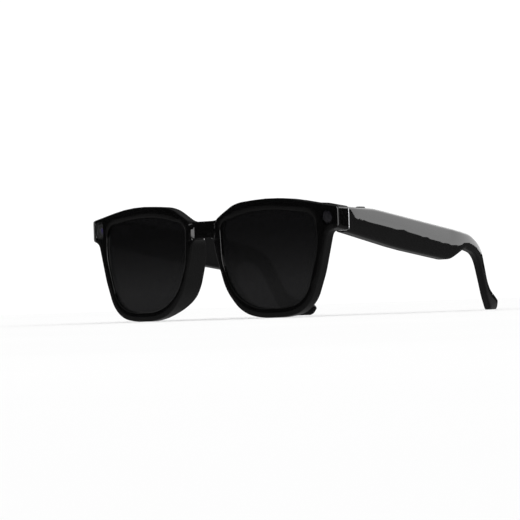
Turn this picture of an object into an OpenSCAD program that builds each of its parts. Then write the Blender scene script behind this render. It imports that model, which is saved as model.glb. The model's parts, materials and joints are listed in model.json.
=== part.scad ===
/* [Front] */
// Width of the front over both end pieces
front_w = 150; // [140:1:164]
// Height of the front from rim bottom to brow
front_h = 52.3; // [46:0.1:60]
// Depth of the rims from front to back
rim_depth = 4.8; // [4.4:0.1:6]
// How far the end pieces sit behind the bridge
wrap = 5; // [2:0.5:8]
// Depth of the end pieces at the seam
end_depth = 12.9; // [12.4:0.1:16]
// Height of the lens opening
lens_h = 43.4; // [38:0.1:44.5]
// Thickness of a lens
lens_t = 2; // [1.2:0.1:2.2]
// Depth of the groove that holds a lens
lens_groove = 0.8; // [0.4:0.1:1]
// Reach of the moulded nose pads behind the rims
pad_depth = 7; // [4:0.5:7.5]

/* [Cameras] */
// Width of the camera pocket
pocket_w = 6.2; // [5.8:0.1:6.4]
// Height of the camera pocket
pocket_h = 8.2; // [6.6:0.1:8.4]
// Diameter of the lens barrel
barrel_d = 4; // [3:0.1:4.4]
// Downward tilt of the camera axis
camera_tilt = 5; // [0:1:6]

/* [Temples] */
// Length of a temple from the seam to its tip
temple_len = 127; // [115:1:145]
// Thickness of the temple housing
temple_t = 7.2; // [6.6:0.1:9]
// Thickness of the hooked tip
tip_t = 4; // [3.2:0.1:5]
// Wall of the temple housing
wall = 1.2; // [0.8:0.1:1.4]
// Thickness of the inner cover of a housing
lid_t = 1; // [0.8:0.1:1.2]

/* [Hinges] */
// Radius of the hinge pin
pin_r = 0.6; // [0.4:0.05:0.8]
// Outer radius of a hinge knuckle
knuckle_r = 1.5; // [1.3:0.05:1.55]

/* [Controls] */
// Length of the capture button
button_len = 5; // [3.5:0.5:6.5]
// Travel of the capture button
button_travel = 0.5; // [0.3:0.1:0.6]
// Travel of the power switch
switch_travel = 2; // [1:0.5:2.5]

/* [Hidden] */

// Clearances that tie neighbouring pieces together
fit_gap = 0.05;
slide_gap = 0.15;
pin_gap = 0.02;
seam_gap = 0.15;

// Reach of cuts that pass right through the front, and how far a cut overshoots a face
cut_front = -2;
cut_back = 31;
over = 1;

// Facets of small and of very large round shapes
$fn = 48;
face_fn = 1080;
arc_step = 4.5;

// The front view is drawn at these nominal sizes and stretched to the set ones
nominal_w = 150;
nominal_h = 52.3;
nominal_lens_h = 43.4;
sx = front_w / nominal_w;
sz = front_h / nominal_h;

// Half of the front outline: x, z and corner radius, from the bridge top round the rim to the bridge arch
half_front = [[7.5, 44.1, 10], [19, 51.2, 22], [44, 53.15, 100], [75, 47.2, 1.2], [75, 38.3, 1.4],
    [69.9, 36.6, 4], [65.3, 19, 40], [58.8, 2.2, 16], [45, 0, 50], [33, 0, 40], [22, 2.4, 20],
    [13, 12.7, 25], [7.7, 29, 40], [6.3, 36.5, 3.5]];
// Opening for the left lens: x, height and corner radius
lens_outline = [[10.5, 43.2, 5], [27, 47.1, 50], [42, 47.6, 80], [63.6, 44.8, 6.5], [64.4, 30, 30],
    [57.3, 6.8, 13], [46, 4.2, 30], [29.5, 4.2, 25], [17.5, 11, 20], [11.3, 25, 25]];
lens_mid = 25.9;

// Nose pads, by their reach from the middle
pad_from = 1;
pad_full = 15 * sx;
pad_end = 28 * sx;

// Frame positions
half_w = front_w / 2;
side_cut = half_w + 5;
face_r = (half_w * half_w + wrap * wrap) / (2 * wrap);
end_top = 47.2 * sz;
end_bottom = 36.8 * sz;
hinge_z = 41.8 * sz;
outer_x = half_w - 0.5;
plate_proud = 0.7;
leaf_wall = 1.3;
pivot_x = outer_x - temple_t - plate_proud - knuckle_r;
end_inner = pivot_x - leaf_wall;
end_start = 2.5;
end_rise = 1.2;
seam_reach = 0.2;
seam_band = 0.9;

// Lens seat, measured back from the face
seat_front = (rim_depth - lens_t) / 2 - 0.2;
seat_back = seat_front + lens_t;

// Groove along the back of the brow for the flex cable, and the strip that closes it
brow_w = 2;
brow_depth = 1.5;
brow_cover_t = 0.7;
brow_half = [[0, 40.3], [6, 40.6], [9.3, 42.2], [14, 45.9], [22, 48.9], [42, 50.1], [56, 48.7], [65, 46.6]];
mic_r = 0.8;
mic_z = 42.8 * sz;
contact_r = 0.6;
contact_x = 4;
contact_z = 38.2 * sz;
contact_len = 1.4;

// Camera stack, each piece by its depth behind the face
chamber_w = pocket_w + 0.4;
chamber_h = pocket_w + 1.2;
leaf_t = 1.2;
leaf_web = 0.5;
camera_x = pivot_x + leaf_t / 2 + leaf_web + chamber_w / 2;
camera_z = 42.6 * sz;
pocket_r = (pocket_h - pocket_w) / 2 + 0.6;
window_r = 3;
window_t = 0.8;
cover_at = 0.5;
cover_t = 1;
step_t = 0.9;
aperture_t = 0.3;
barrel_len = 2.2;
ring_t = 0.35;
ring_w = 0.5;
gasket_t = 0.5;
stack_gap = 0.06;
inner_cover_at = cover_at + cover_t + stack_gap;
holder_at = inner_cover_at + step_t + stack_gap;
aperture_at = holder_at + stack_gap;
barrel_at = aperture_at + aperture_t + stack_gap;
ring_at = barrel_at + barrel_len + stack_gap;
holder_len = aperture_t + barrel_len + ring_t + 4 * stack_gap;
gasket_at = holder_at + holder_len + stack_gap;
pocket_depth = gasket_at + gasket_t + stack_gap;
barrel_r = barrel_d / 2;
holder_w = pocket_w - 2 * slide_gap;
board_t = 0.6;
end_cover_t = 1;

// Hinge
knuckle_h = 1.6;
middle_h = 2.4;
knuckle_gap = 0.1;
pivot_y = end_depth + knuckle_r + 0.1;
leaf_h = 2 * (knuckle_h + knuckle_gap) + middle_h;
leaf_depth = 3.4;
arm_len = 3;
plate_len = 6;
plate_t = 1.3;
plate_h = 4.8;
plate_y = pivot_y + knuckle_r + 0.5;
screw_r = 0.4;
screw_head_r = 0.75;
head_t = 0.3;
screw_len = 3;
screw_margin = 1.5;
pin_head_r = 1;
pin_head_t = 0.5;

// Temple: s runs back from the seam along the temple
ring_t_y = 0.25;
seam_y = end_depth + ring_t_y + seam_gap;
ks = temple_len / 127;
slope = 0.045;
bend_k = 0.0042;
bend_at = 77 * ks;
thin_from = 80 * ks;
thin_to = 96 * ks;
// Side outline of a temple: distance behind the seam, height and corner radius
side_outline = [[0, 47.1, 0.8], [20, 46.2, 60], [78, 37.4, 60], [93.4, 34.7, 25], [104, 29.5, 16],
    [112.7, 10.3, 14], [128.2, 4.2, 1.6], [125.4, 0, 3], [114, 0, 2.4], [109.2, 6, 20],
    [99.6, 25.4, 13], [88, 28.6, 5], [76, 23.2, 12], [38, 28.7, 200], [0, 36.2, 0.8]];
top_edge = [[0, 47.1], [20, 46.2], [78, 37.4]];
bottom_edge = [[0, 36.2], [38, 28.7], [76, 23.2]];
mid_slope = 0.152;
cavity_from = 10.3;
cavity_to = 73 * ks;
room_gap = 0.2;
// Outline of the core in the tip: distance behind the seam and height
core_outline = [[90, 30.6], [97, 28.6], [101.4, 25.2], [104.3, 19.5], [108.6, 11], [110, 11.6],
    [106, 20.4], [102.8, 26.6], [98, 30.4], [90, 32.2]];
core_t = 1;

// Pieces in the housings, by their middle s and their length and height
battery_s = 48 * ks;
battery_len = 30 * ks;
battery_h = 8.4;
speaker_s = 68.5 * ks;
speaker_len = 7;
speaker_h = 7;
board_s = 36 * ks;
board_len = 46 * ks;
board_h = 7.6;
strip_t = 0.3;
strip_h = 3.6;
grille_w = 5;
grille_h = 2.4;
light_s = 16;
light_r = 0.6;

// Controls
button_s = cavity_from + 0.6 + button_len / 2;
button_w = 2.4;
button_rise = 0.8;
button_flange = 0.4;
button_stem_r = 0.6;
button_drop = 4.2;
button_board_reach = 5;
switch_s = 24;
switch_len = 4;
switch_h = 2;
switch_rise = 0.5;
switch_flange = 0.7;

function unit(v) = v / norm(v);
function turn(v, a) = [v.x * cos(a) - v.y * sin(a), v.x * sin(a) + v.y * cos(a)];
// Points of the arc that rounds corner b between a and c
function corner(a, b, c) =
    let (
        p = [b.x, b.y],
        u = unit([a.x, a.y] - p),
        v = unit([c.x, c.y] - p),
        half = acos(u * v) / 2,
        middle = p + unit(u + v) * b[2] / sin(half),
        start = p + u * b[2] / tan(half) - middle,
        side = sign(cross(v, u)),
        sweep = 180 - 2 * half,
        steps = max(1, ceil(sweep / arc_step))
    )
    [for (k = [0 : steps]) middle + turn(start, side * sweep * k / steps)];
function rounded(v) =
    let (n = len(v))
    [for (i = [0 : n - 1]) each corner(v[(i + n - 1) % n], v[i], v[(i + 1) % n])];
function rectangle(x0, x1, y0, y1, r) = rounded([[x0, y0, r], [x1, y0, r], [x1, y1, r], [x0, y1, r]]);
function signed_area(p) =
    let (n = len(p))
    [for (i = [0 : n - 1]) 1] * [for (i = [0 : n - 1]) cross(p[i], p[(i + 1) % n])] / 2;
// Outline moved outwards by d along its own normals
function grown(p, d) =
    let (n = len(p), way = sign(signed_area(p)))
    [for (i = [0 : n - 1])
        let (along = unit(p[(i + 1) % n] - p[(i + n - 1) % n]))
        p[i] + d * way * [along.y, -along.x]];
function flipped(v) = [for (i = [len(v) - 1 : -1 : 0]) [-v[i].x, v[i].y, v[i][2]]];
function stretched(v) = [for (p = v) [p.x * sx, p.y * sz, p[2]]];
function face_y(x) = face_r - sqrt(face_r * face_r - x * x);
function y_of(s) = seam_y + s;
function top_z(s) = sz * lookup(s / ks, top_edge);
function bottom_z(s) = sz * lookup(s / ks, bottom_edge);
function mid_z(s) = (top_z(s) + bottom_z(s)) / 2;
function ease(a, b, s) =
    let (t = min(1, max(0, (s - a) / (b - a))))
    t * t * (3 - 2 * t);
function outer_at(s) = outer_x - slope * s - bend_k * pow(max(0, s - bend_at), 2);
function thick_at(s) = temple_t + (tip_t - temple_t) * ease(thin_from, thin_to, s);

front_points = rounded(stretched(concat(half_front, flipped(half_front))));
lens_points = rounded([for (p = lens_outline)
    [p.x * sx, lens_mid * sz + (p.y - lens_mid) * lens_h / nominal_lens_h, p[2]]]);
side_points = rounded([for (p = side_outline) [y_of(p.x * ks), p.y * sz, p[2]]]);
length_y = max([for (p = side_points) p.x]);
end_points = rounded([[end_inner, end_top + end_rise, 2], [half_w, end_top, 1.2], [half_w, end_bottom, 2],
    [end_inner, end_bottom, 2]]);
plate_in = outer_x - temple_t - plate_proud;
plate_out = plate_in + plate_t;
screw_ys = [pivot_y + arm_len + screw_head_r + fit_gap, plate_y + plate_len - screw_margin];
button_x = outer_at(button_s) - temple_t / 2;
button_top = top_z(button_s) + button_rise;
flange_top = top_z(button_s + button_len / 2 + 1) - wall - room_gap;
pad_points = rounded([[rim_depth / 2, 37.5 * sz, 0.1], [rim_depth + pad_depth * 0.55, 35.5 * sz, 2.5],
    [rim_depth + pad_depth, 24 * sz, 8], [rim_depth + pad_depth * 0.9, 11 * sz, 8],
    [rim_depth + pad_depth * 0.3, 3 * sz, 5], [rim_depth / 2, sz, 0.1]]);
// Seen from above the pads keep their full depth from the bridge to pad_full, then fade out by pad_end
pad_plan = [[pad_from, 0], [pad_from, rim_depth + pad_depth + over], [pad_full, rim_depth + pad_depth + over],
    [pad_end, rim_depth], [pad_end, 0]];

// Flat outlines drawn in x and z and extruded along y, or drawn in y and z and extruded along x
module along_y(p, y0, y1) translate([0, y1, 0]) rotate([90, 0, 0]) linear_extrude(y1 - y0) polygon(p);
module along_x(p, x0, x1) translate([x0, 0, 0]) rotate([90, 0, 90]) linear_extrude(x1 - x0) polygon(p);
module box(x0, x1, y0, y1, z0, z1) translate([x0, y0, z0]) cube([x1 - x0, y1 - y0, z1 - z0]);
module rod_x(r, x0, x1, y, z) translate([x0, y, z]) rotate([0, 90, 0]) cylinder(r = r, h = x1 - x0);
module rod_y(r, y0, y1, x, z) translate([x, y0, z]) rotate([-90, 0, 0]) cylinder(r = r, h = y1 - y0);
module on_both() for (s = [0, 1]) mirror([s, 0, 0]) children();
// Draws the left side's children on the side named, with the origin under the middle of the whole
module placed(side = 1) translate([0, -length_y / 2, 0]) mirror([side < 0 ? 1 : 0, 0, 0]) children();

// Front ---------------------------------------------------------------------------------------------
// Everything deeper than d behind the curved face
module behind_face(d) translate([0, face_r + d, -20]) cylinder(r = face_r, h = front_h + 40, $fn = face_fn);
module face_slab(d0, d1) difference() {
    behind_face(d0);
    translate([0, face_r + d1, -21]) cylinder(r = face_r, h = front_h + 42, $fn = face_fn);
}
module rim_ring() difference() {
    along_y(front_points, cut_front + over, cut_back - over);
    on_both() along_y(lens_points, cut_front, cut_back);
}
module rims() intersection() {
    rim_ring();
    face_slab(0, rim_depth);
}
module end_piece() intersection() {
    along_y(end_points, 0, end_depth);
    behind_face(end_start);
}
module nose_pads() intersection() {
    rim_ring();
    on_both() intersection() {
        along_x(pad_points, pad_from, pad_end);
        linear_extrude(front_h) polygon(pad_plan);
    }
    behind_face(over);
}
module lens_seats() intersection() {
    face_slab(seat_front, seat_back);
    on_both() along_y(grown(lens_points, lens_groove), cut_front, cut_back);
}
function brow_strip(w) =
    let (
        up = [for (p = brow_half) [p.x * sx, p.y * sz + w / 2]],
        n = len(up) - 1,
        low = [for (p = up) [p.x, p.y - w]]
    )
    concat(up, [for (i = [n : -1 : 0]) low[i]], [for (i = [1 : n]) [-low[i].x, low[i].y]],
        [for (i = [n : -1 : 1]) [-up[i].x, up[i].y]]);
module brow_layer(d0, d1, w) intersection() {
    along_y(brow_strip(w), cut_front, cut_back);
    face_slab(d0, d1);
}
// Camera axis: the origin lies on the face and +Z points out to the front and slightly down
module on_camera() translate([camera_x, face_y(camera_x), camera_z]) rotate([90 + camera_tilt, 0, 0])
    children();
module at_depth(d0, d1) translate([0, 0, -d1]) linear_extrude(d1 - d0) children();
module pocket_shape(gap) polygon(rectangle(-pocket_w / 2 + gap, pocket_w / 2 - gap, -pocket_h / 2 + gap,
    pocket_h / 2 - gap, pocket_r));
module square_shape(w, r) polygon(rectangle(-w / 2, w / 2, -w / 2, w / 2, r));
module chamber(y0, y1, gap) along_y(rectangle(camera_x - chamber_w / 2 + gap, camera_x + chamber_w / 2 - gap,
    camera_z - chamber_h / 2 + gap, camera_z + chamber_h / 2 - gap, 1), y0, y1);
module chamber_space() chamber(face_y(camera_x) + pocket_depth - 0.5, end_depth + 1, 0);
module leaf_slot() box(pivot_x - leaf_t / 2 - fit_gap, pivot_x + leaf_t / 2 + fit_gap,
    end_depth - leaf_depth - fit_gap, end_depth + 1, hinge_z - leaf_h / 2 - fit_gap,
    hinge_z + leaf_h / 2 + fit_gap);
module front_screw_holes(gap) for (k = [-1, 1])
    rod_x(screw_r + gap, end_inner - 1, pivot_x + leaf_t / 2 + fit_gap + 0.1, end_depth - leaf_depth / 2,
        hinge_z + k * leaf_h / 4);

module front_frame() color("#101012") placed() difference() {
    union() {
        rims();
        on_both() end_piece();
        nose_pads();
    }
    lens_seats();
    brow_layer(rim_depth - brow_depth, rim_depth + over, brow_w);
    rod_y(mic_r + fit_gap, rim_depth - brow_depth, rim_depth + over, 0, mic_z);
    on_both() rod_y(contact_r + fit_gap, rim_depth - contact_len, rim_depth + over, contact_x, contact_z);
    on_both() {
        chamber_space();
        leaf_slot();
        front_screw_holes(pin_gap);
    }
    on_camera() at_depth(cut_front - over, cover_at + window_t + stack_gap) circle(r = window_r + fit_gap);
    on_camera() at_depth(cover_at + window_t, pocket_depth) pocket_shape(0);
    mirror([1, 0, 0]) on_camera() at_depth(cut_front - over, pocket_depth) pocket_shape(0);
}
module brow_cover() color("#161618") placed()
    brow_layer(rim_depth - brow_cover_t, rim_depth, brow_w - 2 * fit_gap);
module brow_flex() color("#8a5a1e") placed()
    brow_layer(rim_depth - brow_depth + fit_gap, rim_depth - brow_cover_t - fit_gap, brow_w - 0.4);
module bridge_microphone() color("silver") placed()
    rod_y(mic_r, rim_depth - brow_depth + fit_gap, rim_depth - 0.4, 0, mic_z);
module charging_contacts() color("gold") placed() on_both()
    rod_y(contact_r, rim_depth - contact_len + fit_gap, rim_depth, contact_x, contact_z);
module lens(side) color("#1c1c20", 0.6) placed(side) intersection() {
    along_y(grown(lens_points, lens_groove - fit_gap), cut_front, cut_back);
    face_slab(seat_front + fit_gap, seat_back - fit_gap);
}
module end_cover(side) color("#17171a") placed(side)
    chamber(end_depth - end_cover_t, end_depth, fit_gap);
module seam_ring(side) color("#c9ccd0") placed(side) difference() {
    along_y(rectangle(outer_x - temple_t, outer_x + seam_reach, end_bottom, end_top - 0.1, 1.5),
        end_depth, end_depth + ring_t_y);
    along_y(rectangle(outer_x - temple_t + seam_band, outer_x + seam_reach - seam_band,
        end_bottom + seam_band, end_top - 0.1 - seam_band, 1), end_depth - over, seam_y);
}

// Cameras -------------------------------------------------------------------------------------------
module holder_solid(d0, d1) difference() {
    at_depth(d0, d1) square_shape(holder_w, 0.6);
    at_depth(d0 - 1, d1 + 1) circle(r = barrel_r + fit_gap);
}
module barrel_solid(d0) difference() {
    at_depth(d0, d0 + barrel_len) circle(r = barrel_r);
    at_depth(d0 - 1, d0 + 0.5) circle(r = barrel_r * 0.6);
}
module left_camera_window() color("#202030") placed() on_camera()
    at_depth(cover_at, cover_at + window_t) circle(r = window_r);
module left_camera_barrel() color("#2a2350") placed() on_camera() barrel_solid(barrel_at);
module left_camera_holder() color("#111111") placed() on_camera()
    holder_solid(cover_at + window_t + stack_gap, gasket_at + gasket_t);
module sensor_board(side) color("#1d5a34") placed(side) on_camera()
    at_depth(pocket_depth, pocket_depth + board_t) square_shape(holder_w, 0.4);
module camera_gasket() color("#b9c24a") placed(-1) on_camera() difference() {
    at_depth(gasket_at, gasket_at + gasket_t) square_shape(holder_w, 0.8);
    at_depth(gasket_at - 1, gasket_at + 2) square_shape(barrel_d - 2 * fit_gap, 0.6);
}
module camera_holder() color("#141416") placed(-1) on_camera()
    holder_solid(holder_at, holder_at + holder_len);
module camera_retaining_ring() color("#d8dade") placed(-1) on_camera() difference() {
    at_depth(ring_at, ring_at + ring_t) circle(r = barrel_r);
    at_depth(ring_at - 1, ring_at + 2) circle(r = barrel_r - ring_w);
}
module camera_lens_barrel() color("#3a2f78") placed(-1) on_camera() barrel_solid(barrel_at);
module camera_aperture_ring() color("#e0e0e4") placed(-1) on_camera() difference() {
    at_depth(aperture_at, aperture_at + aperture_t) circle(r = barrel_r * 0.65);
    at_depth(aperture_at - 1, aperture_at + 2) circle(r = barrel_r * 0.35);
}
module camera_inner_cover() color("#e6eaee", 0.5) placed(-1) on_camera() union() {
    at_depth(inner_cover_at, inner_cover_at + step_t / 2) circle(r = holder_w * 0.38);
    at_depth(inner_cover_at + step_t / 2, inner_cover_at + step_t) circle(r = holder_w / 2);
}
module camera_outer_cover() color("#e6eaee", 0.5) placed(-1) on_camera()
    at_depth(cover_at, cover_at + cover_t) pocket_shape(slide_gap);

// Hinges --------------------------------------------------------------------------------------------
module at_pivot(z0, h, r) translate([pivot_x, pivot_y, hinge_z + z0]) cylinder(r = r, h = h);
module hinge_front(side) color("#9a9ca0") placed(side) difference() {
    union() {
        box(pivot_x - leaf_t / 2, pivot_x + leaf_t / 2, end_depth - leaf_depth, end_depth - 0.1,
            hinge_z - leaf_h / 2, hinge_z + leaf_h / 2);
        for (z0 = [-leaf_h / 2, leaf_h / 2 - knuckle_h]) {
            at_pivot(z0, knuckle_h, knuckle_r);
            box(pivot_x - leaf_t / 2, pivot_x + leaf_t / 2, end_depth - 1, pivot_y,
                hinge_z + z0, hinge_z + z0 + knuckle_h);
        }
    }
    at_pivot(-leaf_h, 2 * leaf_h, pin_r + pin_gap);
    front_screw_holes(pin_gap);
}
module hinge_pin(side) color("#c4c6ca") placed(side) union() {
    at_pivot(-leaf_h / 2, leaf_h, pin_r);
    at_pivot(leaf_h / 2, pin_head_t, pin_head_r);
}
module front_hinge_screws() color("#c4c6ca") placed() on_both() for (k = [-1, 1]) {
    rod_x(screw_r, end_inner, pivot_x + leaf_t / 2, end_depth - leaf_depth / 2, hinge_z + k * leaf_h / 4);
    rod_x(screw_head_r, end_inner - head_t, end_inner, end_depth - leaf_depth / 2,
        hinge_z + k * leaf_h / 4);
}
module plate_shape(gap) union() {
    box(plate_in - 5 * gap, plate_out + gap, plate_y - gap, plate_y + plate_len + gap,
        hinge_z - plate_h / 2 - gap, hinge_z + plate_h / 2 + gap);
    box(pivot_x - leaf_t / 2, plate_out + gap, pivot_y + 0.5 - gap, pivot_y + arm_len,
        hinge_z - middle_h / 2 - gap, hinge_z + middle_h / 2 + gap);
}
module hinge_rear(side) color("#9a9ca0") placed(side) difference() {
    union() {
        at_pivot(-middle_h / 2, middle_h, knuckle_r);
        plate_shape(0);
    }
    at_pivot(-leaf_h, 2 * leaf_h, pin_r + pin_gap);
    for (y = screw_ys) rod_x(screw_r + pin_gap, plate_in - 1, plate_out + 1, y, hinge_z);
}
module temple_screws(side) color("#c4c6ca") placed(side) for (y = screw_ys) {
    rod_x(screw_r, plate_in, plate_out + screw_len, y, hinge_z);
    rod_x(screw_head_r, plate_in - head_t, plate_in, y, hinge_z);
}

// Temples -------------------------------------------------------------------------------------------
plan_steps = concat([-1, 0], [for (k = [0 : 18]) bend_at + (temple_len - bend_at + 1) * k / 18]);
// Strip seen from above between two depths inside the outer face, each a share of the thickness plus an offset
function plan_line(share, off) = [for (s = plan_steps) [outer_at(s) - thick_at(s) * share - off, y_of(s)]];
function backwards(v) = [for (i = [len(v) - 1 : -1 : 0]) v[i]];
module plan_band(share0, off0, share1, off1) translate([0, 0, -5]) linear_extrude(front_h + 10)
    polygon(concat(plan_line(share0, off0), backwards(plan_line(share1, off1))));
function cavity_points(gap) =
    let (a = cavity_from + gap, b = cavity_to - gap, m = wall + gap)
    [[y_of(a), top_z(a) - m], [y_of(20 * ks), top_z(20 * ks) - m], [y_of(b), top_z(b) - m],
        [y_of(b), bottom_z(b) + m], [y_of(38 * ks), bottom_z(38 * ks) + m], [y_of(a), bottom_z(a) + m]];
// Layer of the housing between two depths inside the outer face
module housing_layer(d0, d1, gap) intersection() {
    along_x(cavity_points(gap), 0, side_cut);
    translate([0, 0, -5]) linear_extrude(front_h + 10) polygon([[outer_at(0) - d0, y_of(0)],
        [outer_at(cavity_to) - d0, y_of(cavity_to)], [outer_at(cavity_to) - d1, y_of(cavity_to)],
        [outer_at(0) - d1, y_of(0)]]);
}
// Axes along the temple: the origin on the outer face, +Y to the tip
module in_housing(s) translate([outer_at(s), y_of(s), mid_z(s)])
    rotate([-atan(mid_slope), 0, atan(slope)]) children();
module block(d0, d1, l, h, z = 0) box(-d1, -d0, -l / 2, l / 2, z - h / 2, z + h / 2);
// Flat core of the tip: a strip along the middle of the hook, wider and thicker by a gap for its slot
module core_strip(gap) intersection() {
    along_x(grown([for (p = core_outline) [y_of(p.x * ks), p.y * sz]], gap), 0, side_cut);
    plan_band(0.5, -core_t / 2 - gap, 0.5, core_t / 2 + gap);
}

module button_shape(gap, z0, z1) translate([button_x, y_of(button_s), z0]) linear_extrude(z1 - z0)
    polygon(rectangle(-button_w / 2 - gap, button_w / 2 + gap, -button_len / 2 - gap,
        button_len / 2 + gap, button_w * 0.45));
module temple_shell(side) color("#0e0e10") placed(side) difference() {
    intersection() {
        along_x(side_points, 0, side_cut);
        plan_band(0, 0, 1, 0);
    }
    housing_layer(wall, temple_t + 5, 0);
    plate_shape(fit_gap);
    for (y = screw_ys) rod_x(screw_r + pin_gap, plate_in, plate_out + screw_len + 0.1, y, hinge_z);
    core_strip(fit_gap);
    if (side > 0) button_shape(slide_gap, top_z(button_s) - wall - 1, button_top + 1);
}
module temple_lid(side) color("#1a1a1d") placed(side) difference() {
    housing_layer(temple_t - lid_t, temple_t, fit_gap);
    in_housing(speaker_s) block(temple_t - lid_t - 1, temple_t + 1, grille_w, grille_h);
    if (side > 0) in_housing(switch_s + switch_travel / 2)
        block(temple_t - lid_t - 1, temple_t + 1, switch_len + switch_travel + 2 * slide_gap,
            switch_h + 2 * slide_gap);
    if (side < 0) in_housing(light_s) light_rod(temple_t - lid_t - 1, temple_t + 1, light_r + fit_gap);
}
module light_rod(d0, d1, r) translate([-d1, 0, 0]) rotate([0, 90, 0]) cylinder(r = r, h = d1 - d0);
module tip_core(side) color("#b8bac0") placed(side) core_strip(0);
module speaker(side) color("#2a2a2e") placed(side) in_housing(speaker_s)
    block(wall + room_gap, temple_t - lid_t - room_gap, speaker_len, speaker_h);
module speaker_grille(side) color("#55565a") placed(side) in_housing(speaker_s) difference() {
    block(temple_t - lid_t, temple_t, grille_w - 2 * fit_gap, grille_h - 2 * fit_gap);
    for (k = [-1, 0, 1]) translate([0, k * 1.4, 0]) block(temple_t - lid_t - 1, temple_t + 1, 0.5, 1.4);
}
module battery() color("#7f868c") placed() in_housing(battery_s)
    block(wall + room_gap, temple_t - lid_t - room_gap, battery_len, battery_h);
module main_board() color("#1d5a34") placed(-1) in_housing(board_s) union() {
    block(wall + 2, wall + 2 + board_t, board_len, board_h);
    for (k = [-1.4, 0, 1.3]) translate([0, k * board_len / 4, 0])
        block(wall + 2 + board_t, wall + 3.2 + board_t, 6, 5);
}
module touch_strip() color("#8a5a1e") placed(-1) in_housing(board_s)
    block(wall + room_gap, wall + room_gap + strip_t, board_len * 0.8, strip_h);
module status_light() color("white") placed(-1) in_housing(light_s)
    light_rod(temple_t - lid_t, temple_t, light_r);

// Controls ------------------------------------------------------------------------------------------
module capture_button() color("#1b1b1e") placed() union() {
    button_shape(0, flange_top - 0.1, button_top);
    button_shape(0.5, flange_top - button_flange, flange_top);
    translate([button_x, y_of(button_s), flange_top - button_drop + button_travel + 1.1])
        cylinder(r = button_stem_r, h = button_drop - button_travel - 1.2);
}
module button_board() color("#1d5a34") placed()
    translate([outer_at(button_s), y_of(button_s), flange_top - button_drop]) rotate([0, 0, atan(slope)])
    box(-temple_t + lid_t + room_gap, -wall - room_gap, -button_len / 2, button_board_reach, -board_t, 0);
module button_spring() color("#c9b26a") placed()
    translate([button_x, y_of(button_s), flange_top - button_drop]) rotate_extrude()
    polygon([[0.3, 0.6], [0.9, 0.5], [1.4, 0], [1.6, 0], [1.0, 0.7], [0.3, 0.8]]);
module power_switch() color("#26262a") placed() in_housing(switch_s) union() {
    block(temple_t - lid_t - 0.2, temple_t + switch_rise, switch_len, switch_h);
    block(temple_t - lid_t - 0.1 - switch_flange, temple_t - lid_t - 0.1, switch_len + 2, switch_h + 1.6);
}

front_frame();
brow_cover();
brow_flex();
bridge_microphone();
charging_contacts();
lens(1);  // lens_left
lens(-1);  // lens_right
end_cover(1);  // end_cover_left
end_cover(-1);  // end_cover_right
seam_ring(1);  // seam_ring_left
seam_ring(-1);  // seam_ring_right
left_camera_window();
left_camera_barrel();
left_camera_holder();
sensor_board(1);  // left_sensor_board
sensor_board(-1);  // right_sensor_board
camera_gasket();
camera_holder();
camera_retaining_ring();
camera_lens_barrel();
camera_aperture_ring();
camera_inner_cover();
camera_outer_cover();
hinge_front(1);  // hinge_front_left
hinge_front(-1);  // hinge_front_right
hinge_pin(1);  // hinge_pin_left
hinge_pin(-1);  // hinge_pin_right
front_hinge_screws();
hinge_rear(1);  // hinge_rear_left
hinge_rear(-1);  // hinge_rear_right
temple_screws(1);  // temple_screws_left
temple_screws(-1);  // temple_screws_right
temple_shell(1);  // temple_shell_left
temple_shell(-1);  // temple_shell_right
temple_lid(1);  // temple_lid_left
temple_lid(-1);  // temple_lid_right
tip_core(1);  // tip_core_left
tip_core(-1);  // tip_core_right
speaker(1);  // speaker_left
speaker(-1);  // speaker_right
speaker_grille(1);  // speaker_grille_left
speaker_grille(-1);  // speaker_grille_right
battery();
button_board();
button_spring();
capture_button();
main_board();
touch_strip();
power_switch();
status_light();
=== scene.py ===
"""Smart glasses with open temples: camera, light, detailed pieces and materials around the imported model.

Shapes are drawn in millimetres with y = 0 at the front of the bridge, then moved into the model's frame in
metres. Left is the wearer's left, at +X.
"""
import json
import math

import bmesh
import bpy
import numpy as np
from mathutils import Matrix, Vector


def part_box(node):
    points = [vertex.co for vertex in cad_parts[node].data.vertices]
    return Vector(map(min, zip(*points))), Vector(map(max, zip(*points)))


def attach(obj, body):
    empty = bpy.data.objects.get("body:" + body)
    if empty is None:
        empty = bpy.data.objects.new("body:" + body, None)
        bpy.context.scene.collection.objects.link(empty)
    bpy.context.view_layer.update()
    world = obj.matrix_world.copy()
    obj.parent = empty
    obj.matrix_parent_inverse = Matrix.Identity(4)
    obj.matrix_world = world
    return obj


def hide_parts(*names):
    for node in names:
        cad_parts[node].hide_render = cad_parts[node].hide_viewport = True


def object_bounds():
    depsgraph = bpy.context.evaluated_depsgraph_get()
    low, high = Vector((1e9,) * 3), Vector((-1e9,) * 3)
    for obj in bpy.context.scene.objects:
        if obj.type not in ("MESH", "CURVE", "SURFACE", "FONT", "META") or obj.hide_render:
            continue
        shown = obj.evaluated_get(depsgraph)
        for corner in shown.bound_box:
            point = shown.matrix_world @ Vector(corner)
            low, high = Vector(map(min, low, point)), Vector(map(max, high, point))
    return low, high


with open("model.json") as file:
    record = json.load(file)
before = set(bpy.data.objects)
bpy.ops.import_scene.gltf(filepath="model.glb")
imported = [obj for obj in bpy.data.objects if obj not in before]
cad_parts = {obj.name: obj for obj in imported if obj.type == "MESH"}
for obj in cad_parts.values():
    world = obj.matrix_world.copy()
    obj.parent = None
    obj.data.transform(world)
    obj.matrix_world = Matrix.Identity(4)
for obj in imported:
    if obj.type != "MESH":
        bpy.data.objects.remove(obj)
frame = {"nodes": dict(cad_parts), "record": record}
cad_low, cad_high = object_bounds()
scene = bpy.context.scene
MM = 0.001
BRIDGE_Y = cad_low.y

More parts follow.
